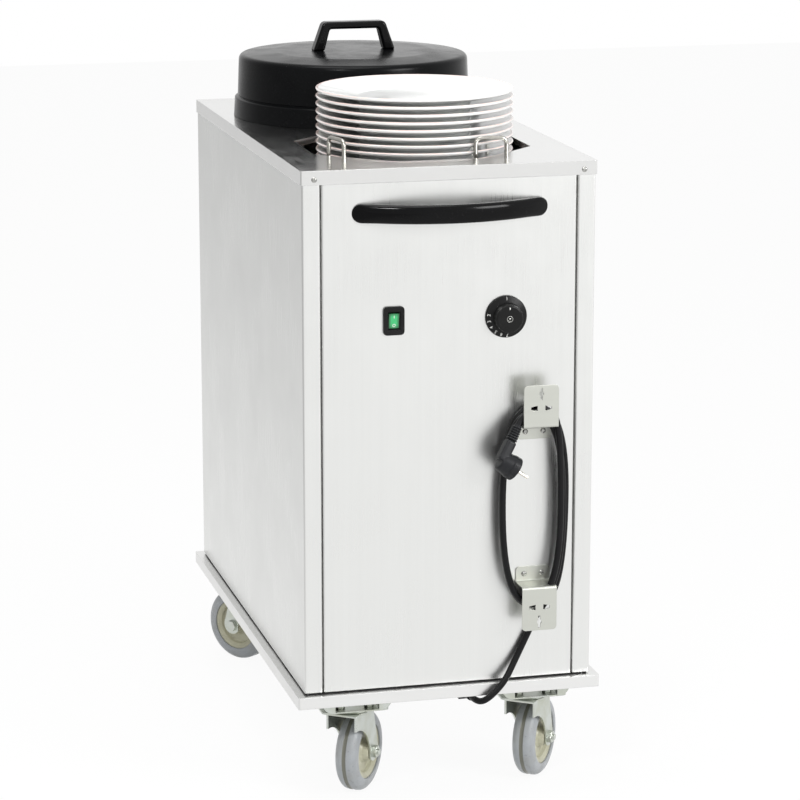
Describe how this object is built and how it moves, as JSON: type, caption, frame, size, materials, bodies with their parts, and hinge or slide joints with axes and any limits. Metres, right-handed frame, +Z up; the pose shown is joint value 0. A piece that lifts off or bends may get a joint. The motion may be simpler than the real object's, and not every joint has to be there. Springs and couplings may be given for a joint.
{
  "type": "heated plate dispenser",
  "caption": "Mobile heated plate dispenser with two stack wells, spring-loaded carriers, a domed lid, a push handle and swivel castors.",
  "frame": {"origin": "on the floor, below the centre of the box round the dispenser without its cord and plug", "axes": "+Z up, -Y towards the front panel with the push handle, +X to the right seen from the front"},
  "size_m": [0.472, 0.9082, 1.131],
  "materials": {
    "stainless_sheet": "satin",
    "hook_steel": "satin",
    "screw_steel": "bright",
    "seal_rubber": "matt",
    "zinc_steel": "zinc plated",
    "wheel_core_plastic": "satin",
    "tyre_rubber": "satin",
    "lift_steel": "satin",
    "spring_steel": "satin",
    "guide_rod_steel": "polished",
    "heater_steel": "heat darkened",
    "handle_plastic": "gloss",
    "lid_plastic": "satin gloss",
    "black_plastic": "satin",
    "knob_ring_metal": "bright",
    "rocker_green": "translucent, lit",
    "cord_rubber": "satin",
    "plug_rubber": "satin",
    "pin_brass": "nickel plated",
    "porcelain": "glossy glaze"
  },
  "bodies": {
    "cabinet": {"base_tray": "stainless_sheet", "base_seal": "seal_rubber", "left_panel": "stainless_sheet", "right_panel": "stainless_sheet", "front_panel": "stainless_sheet", "rear_panel": "stainless_sheet", "worktop": "stainless_sheet", "worktop_screws": "screw_steel", "castor_brackets": "zinc_steel", "castor_plates": "zinc_steel", "castor_bolts": "zinc_steel", "front_lift_frame": "lift_steel", "rear_lift_frame": "lift_steel", "front_lift_springs": "spring_steel", "rear_lift_springs": "spring_steel", "heating_elements": "heater_steel", "push_handle": "handle_plastic", "switch_frame": "black_plastic", "thermostat_body": "black_plastic", "upper_cord_hook": "hook_steel", "lower_cord_hook": "hook_steel", "hook_screws": "screw_steel", "cable_gland": "black_plastic", "cord_lead": "cord_rubber", "cord_hank": "cord_rubber", "cord_tail": "cord_rubber", "plug": "plug_rubber", "plug_pins": "pin_brass"},
    "front_carrier": {"front_carrier": "lift_steel", "plates": "porcelain"},
    "rear_carrier": {"rear_carrier": "lift_steel"},
    "lid": {"lid": "lid_plastic", "lid_handle": "handle_plastic"},
    "knob": {"knob": "black_plastic", "knob_ring": "knob_ring_metal"},
    "rocker": {"rocker": "rocker_green"},
    "front_guide_1": {"front_guide_1": "guide_rod_steel"},
    "front_guide_2": {"front_guide_2": "guide_rod_steel"},
    "front_guide_3": {"front_guide_3": "guide_rod_steel"},
    "front_guide_4": {"front_guide_4": "guide_rod_steel"},
    "rear_guide_1": {"rear_guide_1": "guide_rod_steel"},
    "rear_guide_2": {"rear_guide_2": "guide_rod_steel"},
    "rear_guide_3": {"rear_guide_3": "guide_rod_steel"},
    "rear_guide_4": {"rear_guide_4": "guide_rod_steel"},
    "front_left_swivel": {"front_left_fork": "zinc_steel", "front_left_axle": "zinc_steel"},
    "front_left_wheel": {"front_left_wheel_core": "wheel_core_plastic", "front_left_tyre": "tyre_rubber"},
    "front_right_swivel": {"front_right_fork": "zinc_steel", "front_right_axle": "zinc_steel"},
    "front_right_wheel": {"front_right_wheel_core": "wheel_core_plastic", "front_right_tyre": "tyre_rubber"},
    "rear_left_swivel": {"rear_left_fork": "zinc_steel", "rear_left_axle": "zinc_steel"},
    "rear_left_wheel": {"rear_left_wheel_core": "wheel_core_plastic", "rear_left_tyre": "tyre_rubber"},
    "rear_right_swivel": {"rear_right_fork": "zinc_steel", "rear_right_axle": "zinc_steel"},
    "rear_right_wheel": {"rear_right_wheel_core": "wheel_core_plastic", "rear_right_tyre": "tyre_rubber"}
  },
  "joints": [
    {"name": "front_lift", "type": "slide", "parent": "cabinet", "child": "front_carrier", "axis": [0, 0, -1], "range_m": [-0.0224, 0.5176], "stiffness_N_per_m": 690, "springref_m": -0.1377, "deforming": ["front_lift_springs"]},
    {"name": "rear_lift", "type": "slide", "parent": "cabinet", "child": "rear_carrier", "axis": [0, 0, -1], "range_m": [0, 0.54], "stiffness_N_per_m": 690, "springref_m": -0.06, "deforming": ["rear_lift_springs"]},
    {"name": "lid_lift_off", "type": "slide", "parent": "cabinet", "child": "lid", "axis": [0, 0, 1], "range_m": [0, 0.25]},
    {"name": "knob_turn", "type": "hinge", "parent": "cabinet", "child": "knob", "pos_m": [0.086, -0.39889, 0.751], "axis": [0, 1, 0], "range_deg": [0, 270]},
    {"name": "rocker_tilt", "type": "hinge", "parent": "cabinet", "child": "rocker", "pos_m": [-0.086, -0.39889, 0.753], "axis": [1, 0, 0], "range_deg": [-14, 0]},
    {"name": "front_guide_1_swing", "type": "hinge", "parent": "cabinet", "child": "front_guide_1", "pos_m": [0.10923, -0.31554, 0.98], "axis": [0, 0, 1], "range_deg": [0, 18]},
    {"name": "front_guide_2_swing", "type": "hinge", "parent": "cabinet", "child": "front_guide_2", "pos_m": [0.12242, -0.03931, 0.98], "axis": [0, 0, 1], "range_deg": [-3, 6]},
    {"name": "front_guide_3_swing", "type": "hinge", "parent": "cabinet", "child": "front_guide_3", "pos_m": [-0.10923, -0.02564, 0.98], "axis": [0, 0, 1], "range_deg": [-3, 18]},
    {"name": "front_guide_4_swing", "type": "hinge", "parent": "cabinet", "child": "front_guide_4", "pos_m": [-0.13488, -0.29204, 0.98], "axis": [0, 0, 1], "range_deg": [-16, 8]},
    {"name": "rear_guide_1_swing", "type": "hinge", "parent": "cabinet", "child": "rear_guide_1", "pos_m": [0.10923, 0.03946, 0.98], "axis": [0, 0, 1], "range_deg": [-40, 18]},
    {"name": "rear_guide_2_swing", "type": "hinge", "parent": "cabinet", "child": "rear_guide_2", "pos_m": [0.12242, 0.31569, 0.98], "axis": [0, 0, 1], "range_deg": [-45, 6]},
    {"name": "rear_guide_3_swing", "type": "hinge", "parent": "cabinet", "child": "rear_guide_3", "pos_m": [-0.10923, 0.32936, 0.98], "axis": [0, 0, 1], "range_deg": [-40, 18]},
    {"name": "rear_guide_4_swing", "type": "hinge", "parent": "cabinet", "child": "rear_guide_4", "pos_m": [-0.13488, 0.06296, 0.98], "axis": [0, 0, 1], "range_deg": [-45, 8]},
    {"name": "front_left_swivel_turn", "type": "hinge", "parent": "cabinet", "child": "front_left_swivel", "pos_m": [-0.141, -0.34259, 0.15], "axis": [0, 0, 1], "continuous": true},
    {"name": "front_left_wheel_spin", "type": "hinge", "parent": "front_left_swivel", "child": "front_left_wheel", "pos_m": [-0.11984, -0.31346, 0.0625], "axis": [-0.809, 0.5878, 0], "continuous": true},
    {"name": "front_right_swivel_turn", "type": "hinge", "parent": "cabinet", "child": "front_right_swivel", "pos_m": [0.141, -0.34259, 0.15], "axis": [0, 0, 1], "continuous": true},
    {"name": "front_right_wheel_spin", "type": "hinge", "parent": "front_right_swivel", "child": "front_right_wheel", "pos_m": [0.16216, -0.31346, 0.0625], "axis": [-0.809, 0.5878, 0], "continuous": true},
    {"name": "rear_left_swivel_turn", "type": "hinge", "parent": "cabinet", "child": "rear_left_swivel", "pos_m": [-0.141, 0.35641, 0.15], "axis": [0, 0, 1], "continuous": true},
    {"name": "rear_left_wheel_spin", "type": "hinge", "parent": "rear_left_swivel", "child": "rear_left_wheel", "pos_m": [-0.16366, 0.38439, 0.0625], "axis": [-0.7771, -0.6293, 0], "continuous": true},
    {"name": "rear_right_swivel_turn", "type": "hinge", "parent": "cabinet", "child": "rear_right_swivel", "pos_m": [0.141, 0.35641, 0.15], "axis": [0, 0, 1], "continuous": true},
    {"name": "rear_right_wheel_spin", "type": "hinge", "parent": "rear_right_swivel", "child": "rear_right_wheel", "pos_m": [0.159, 0.38759, 0.0625], "axis": [-0.866, 0.5, 0], "continuous": true}
  ]
}
